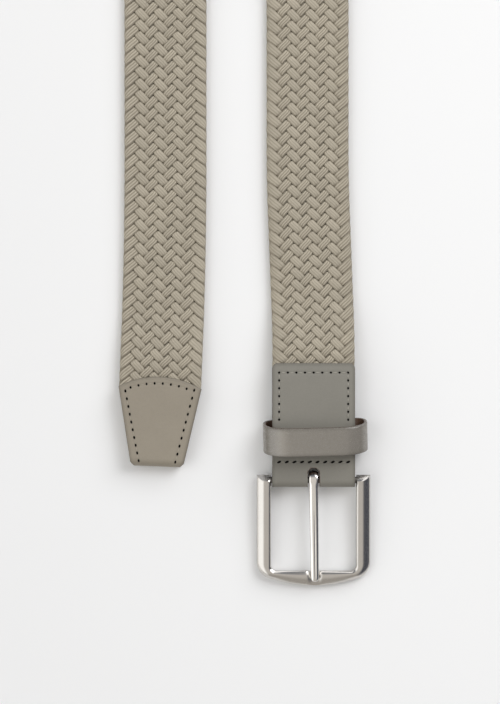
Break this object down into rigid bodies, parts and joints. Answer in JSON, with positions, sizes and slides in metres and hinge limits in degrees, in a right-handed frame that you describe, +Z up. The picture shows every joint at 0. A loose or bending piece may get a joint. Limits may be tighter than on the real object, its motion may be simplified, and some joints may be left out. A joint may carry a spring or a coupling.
{
  "type": "braided belt",
  "caption": "Braided stretch belt in taupe, lying open, with a stitched leather tip, a leather tab and keeper loop, and a metal heel-bar buckle with a prong.",
  "frame": {"origin": "middle of the belt's box at the level of the surface that it lies on", "axes": "+X across the arms towards the buckle's arm, +Y along the arms towards the bend, +Z up out of the strap's front"},
  "size_m": [0.1072, 0.5144, 0.0351],
  "materials": {
    "braid": "braided yarn, matt",
    "leather": "smooth, fine grain",
    "metal": "satin nickel"
  },
  "bodies": {
    "belt": {"braided_strap": "braid", "leather_tip": "leather", "buckle_tab": "leather", "keeper_loop": "leather"},
    "frame": {"buckle_frame": "metal"},
    "prong": {"buckle_prong": "metal"}
  },
  "joints": [
    {"name": "frame_swing", "type": "hinge", "parent": "belt", "child": "frame", "pos_m": [0.02938, -0.21213, 0.0046], "axis": [-1, 0, 0], "range_deg": [0, 30]},
    {"name": "prong_swing", "type": "hinge", "parent": "frame", "child": "prong", "pos_m": [0.02938, -0.21213, 0.0046], "axis": [-1, 0, 0], "range_deg": [0, 85]}
  ]
}
